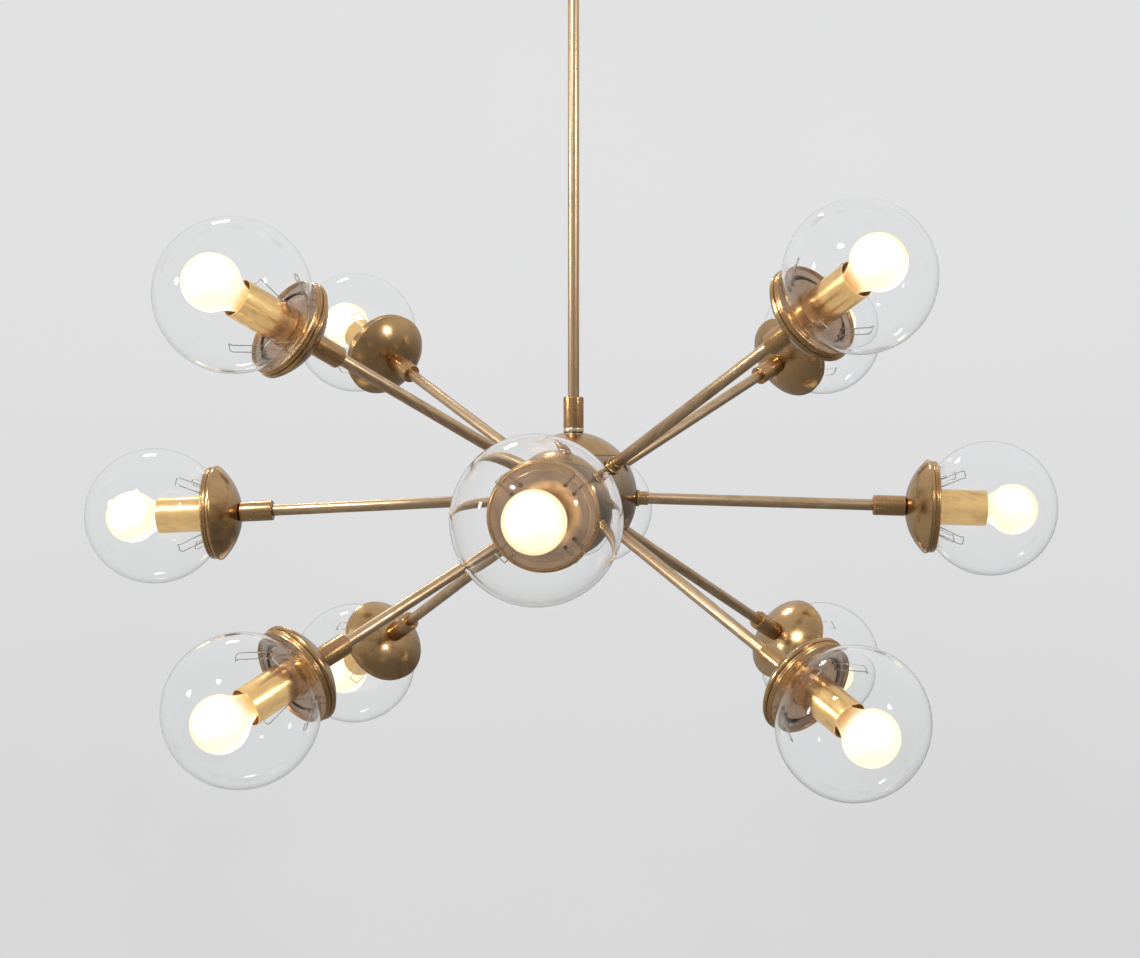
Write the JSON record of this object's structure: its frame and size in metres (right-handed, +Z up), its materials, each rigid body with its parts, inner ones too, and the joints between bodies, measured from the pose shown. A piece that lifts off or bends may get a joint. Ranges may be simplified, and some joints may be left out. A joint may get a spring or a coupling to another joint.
{
  "type": "sputnik chandelier",
  "caption": "Hanging chandelier: brass ball hub on a rigid stem with radiating arms in three tiers, each ending in a shallow dome with a clear glass globe over a round bulb.",
  "frame": {"origin": "on the ceiling, midway between the two slots of the ceiling bracket, on the axis of the nipple and stem", "axes": "+Z up along the stem, -Y towards the viewer of the picture, +X to the viewer's right along a level arm"},
  "size_m": [0.8622, 0.8623, 0.7915],
  "materials": {
    "aged_brass": "aged, satin, brown and greenish patina",
    "drawn_brass": "drawn tube, aged, fine streaks along the tube",
    "copper_brass": "turned, smooth, reddish",
    "pale_brass": "turned, bright",
    "polished_brass": "spun and polished, lightly tarnished",
    "patina_brass": "spun, satin, uneven brown patina",
    "cup_brass": "thin tube, satin",
    "zinc_steel": "zinc plated",
    "spring_steel": "drawn wire",
    "nickel": "nickel plated, pressed",
    "clear_glass": "clear, blown, smooth",
    "frosted_glass": "frosted inside",
    "white_nylon": "moulded",
    "holder_plastic": "moulded, dark",
    "wire_insulation": "extruded sleeve",
    "cloth_tape": "wound tape",
    "fibre": "pressed fibre"
  },
  "bodies": {
    "ceiling_mount": {"ceiling_bracket": "zinc_steel", "mounting_nipple": "zinc_steel", "bracket_locknuts": "zinc_steel", "canopy": "aged_brass", "canopy_ring_nut": "aged_brass", "terminal_block": "white_nylon", "ceiling_leads": "wire_insulation"},
    "swivel": {"swivel_yoke": "aged_brass", "swivel_pins": "zinc_steel"},
    "pendant": {"swivel_eye": "aged_brass", "stem": "drawn_brass", "stem_cable": "wire_insulation", "stem_coupler": "copper_brass", "hub_neck": "pale_brass", "hub_lid": "aged_brass", "hub_body": "polished_brass", "tie_rod": "zinc_steel", "finial_nut": "aged_brass", "taped_splices": "cloth_tape", "hub_washers": "fibre", "arm_ferrules": "aged_brass", "arm_locknuts": "zinc_steel", "arm_tubes_level": "drawn_brass", "arm_tubes_upper": "drawn_brass", "arm_tubes_lower": "drawn_brass", "domes_level": "patina_brass", "domes_upper": "patina_brass", "domes_lower": "patina_brass", "arm_couplers": "copper_brass", "arm_wires": "wire_insulation", "head_nipples": "zinc_steel", "socket_cups": "cup_brass", "lampholders": "holder_plastic", "screw_shells": "nickel", "globe_galleries": "copper_brass", "globe_springs": "spring_steel"},
    "globe_right": {"globe_right": "clear_glass"},
    "globe_back": {"globe_back": "clear_glass"},
    "globe_left": {"globe_left": "clear_glass"},
    "globe_front": {"globe_front": "clear_glass"},
    "globe_upper_back_right": {"globe_upper_back_right": "clear_glass"},
    "globe_upper_back_left": {"globe_upper_back_left": "clear_glass"},
    "globe_upper_front_left": {"globe_upper_front_left": "clear_glass"},
    "globe_upper_front_right": {"globe_upper_front_right": "clear_glass"},
    "globe_lower_back_right": {"globe_lower_back_right": "clear_glass"},
    "globe_lower_back_left": {"globe_lower_back_left": "clear_glass"},
    "globe_lower_front_left": {"globe_lower_front_left": "clear_glass"},
    "globe_lower_front_right": {"globe_lower_front_right": "clear_glass"},
    "bulb_right": {"bulb_right": "frosted_glass"},
    "bulb_back": {"bulb_back": "frosted_glass"},
    "bulb_left": {"bulb_left": "frosted_glass"},
    "bulb_front": {"bulb_front": "frosted_glass"},
    "bulb_upper_back_right": {"bulb_upper_back_right": "frosted_glass"},
    "bulb_upper_back_left": {"bulb_upper_back_left": "frosted_glass"},
    "bulb_upper_front_left": {"bulb_upper_front_left": "frosted_glass"},
    "bulb_upper_front_right": {"bulb_upper_front_right": "frosted_glass"},
    "bulb_lower_back_right": {"bulb_lower_back_right": "frosted_glass"},
    "bulb_lower_back_left": {"bulb_lower_back_left": "frosted_glass"},
    "bulb_lower_front_left": {"bulb_lower_front_left": "frosted_glass"},
    "bulb_lower_front_right": {"bulb_lower_front_right": "frosted_glass"}
  },
  "joints": [
    {"name": "swivel_turn", "type": "hinge", "parent": "ceiling_mount", "child": "swivel", "pos_m": [0, 0, -0.0504], "axis": [0, 0, 1], "range_deg": [-175, 175]},
    {"name": "stem_tilt", "type": "hinge", "parent": "swivel", "child": "pendant", "pos_m": [0, 0, -0.0708], "axis": [0, 1, 0], "range_deg": [-30, 30]},
    {"name": "globe_pull_right", "type": "slide", "parent": "pendant", "child": "globe_right", "axis": [0.9994, 0.0174, -0.0297], "range_m": [0, 0.0954], "deforming": ["globe_springs"]},
    {"name": "globe_pull_back", "type": "slide", "parent": "pendant", "child": "globe_back", "axis": [0, 0.9993, -0.0384], "range_m": [0, 0.0954], "deforming": ["globe_springs"]},
    {"name": "globe_pull_left", "type": "slide", "parent": "pendant", "child": "globe_left", "axis": [-0.9989, -0.0087, -0.0471], "range_m": [0, 0.0954], "deforming": ["globe_springs"]},
    {"name": "globe_pull_front", "type": "slide", "parent": "pendant", "child": "globe_front", "axis": [0, -0.9991, -0.0419], "range_m": [0, 0.0954], "deforming": ["globe_springs"]},
    {"name": "globe_pull_upper_back_right", "type": "slide", "parent": "pendant", "child": "globe_upper_back_right", "axis": [0.6355, 0.6355, 0.4384], "range_m": [0, 0.0954], "deforming": ["globe_springs"]},
    {"name": "globe_pull_upper_back_left", "type": "slide", "parent": "pendant", "child": "globe_upper_back_left", "axis": [-0.6367, 0.63, 0.4446], "range_m": [0, 0.0954], "deforming": ["globe_springs"]},
    {"name": "globe_pull_upper_front_left", "type": "slide", "parent": "pendant", "child": "globe_upper_front_left", "axis": [-0.6568, -0.6298, 0.4147], "range_m": [0, 0.0954], "deforming": ["globe_springs"]},
    {"name": "globe_pull_upper_front_right", "type": "slide", "parent": "pendant", "child": "globe_upper_front_right", "axis": [0.6322, -0.6278, 0.454], "range_m": [0, 0.0954], "deforming": ["globe_springs"]},
    {"name": "globe_pull_lower_back_right", "type": "slide", "parent": "pendant", "child": "globe_lower_back_right", "axis": [0.63, 0.63, -0.454], "range_m": [0, 0.0954], "deforming": ["globe_springs"]},
    {"name": "globe_pull_lower_back_left", "type": "slide", "parent": "pendant", "child": "globe_lower_back_left", "axis": [-0.6387, 0.619, -0.4571], "range_m": [0, 0.0954], "deforming": ["globe_springs"]},
    {"name": "globe_pull_lower_front_left", "type": "slide", "parent": "pendant", "child": "globe_lower_front_left", "axis": [-0.6389, -0.6322, -0.4384], "range_m": [0, 0.0954], "deforming": ["globe_springs"]},
    {"name": "globe_pull_lower_front_right", "type": "slide", "parent": "pendant", "child": "globe_lower_front_right", "axis": [0.6173, -0.6347, -0.4648], "range_m": [0, 0.0954], "deforming": ["globe_springs"]},
    {"name": "bulb_turn_right", "type": "hinge", "parent": "pendant", "child": "bulb_right", "pos_m": [0.33713, 0.00588, -0.56881], "axis": [0.9994, 0.0174, -0.0297], "range_deg": [0, 1440]},
    {"name": "bulb_turn_back", "type": "hinge", "parent": "pendant", "child": "bulb_back", "pos_m": [0, 0.33708, -0.57175], "axis": [0, 0.9993, -0.0384], "range_deg": [0, 1440]},
    {"name": "bulb_turn_left", "type": "hinge", "parent": "pendant", "child": "bulb_left", "pos_m": [-0.33694, -0.00294, -0.57469], "axis": [-0.9989, -0.0087, -0.0471], "range_deg": [0, 1440]},
    {"name": "bulb_turn_front", "type": "hinge", "parent": "pendant", "child": "bulb_front", "pos_m": [0, -0.33703, -0.57293], "axis": [0, -0.9991, -0.0419], "range_deg": [0, 1440]},
    {"name": "bulb_turn_upper_back_right", "type": "hinge", "parent": "pendant", "child": "bulb_upper_back_right", "pos_m": [0.21438, 0.21438, -0.41093], "axis": [0.6355, 0.6355, 0.4384], "range_deg": [0, 1440]},
    {"name": "bulb_turn_upper_back_left", "type": "hinge", "parent": "pendant", "child": "bulb_upper_back_left", "pos_m": [-0.21477, 0.21253, -0.40881], "axis": [-0.6367, 0.63, 0.4446], "range_deg": [0, 1440]},
    {"name": "bulb_turn_upper_front_left", "type": "hinge", "parent": "pendant", "child": "bulb_upper_front_left", "pos_m": [-0.22155, -0.21246, -0.41891], "axis": [-0.6568, -0.6298, 0.4147], "range_deg": [0, 1440]},
    {"name": "bulb_turn_upper_front_right", "type": "hinge", "parent": "pendant", "child": "bulb_upper_front_right", "pos_m": [0.21327, -0.21179, -0.40566], "axis": [0.6322, -0.6278, 0.454], "range_deg": [0, 1440]},
    {"name": "bulb_turn_lower_back_right", "type": "hinge", "parent": "pendant", "child": "bulb_lower_back_right", "pos_m": [0.21253, 0.21253, -0.71194], "axis": [0.63, 0.63, -0.454], "range_deg": [0, 1440]},
    {"name": "bulb_turn_lower_back_left", "type": "hinge", "parent": "pendant", "child": "bulb_lower_back_left", "pos_m": [-0.21546, 0.20879, -0.71299], "axis": [-0.6387, 0.619, -0.4571], "range_deg": [0, 1440]},
    {"name": "bulb_turn_lower_front_left", "type": "hinge", "parent": "pendant", "child": "bulb_lower_front_left", "pos_m": [-0.21551, -0.21326, -0.70667], "axis": [-0.6389, -0.6322, -0.4384], "range_deg": [0, 1440]},
    {"name": "bulb_turn_lower_front_right", "type": "hinge", "parent": "pendant", "child": "bulb_lower_front_right", "pos_m": [0.20822, -0.21412, -0.7156], "axis": [0.6173, -0.6347, -0.4648], "range_deg": [0, 1440]}
  ]
}
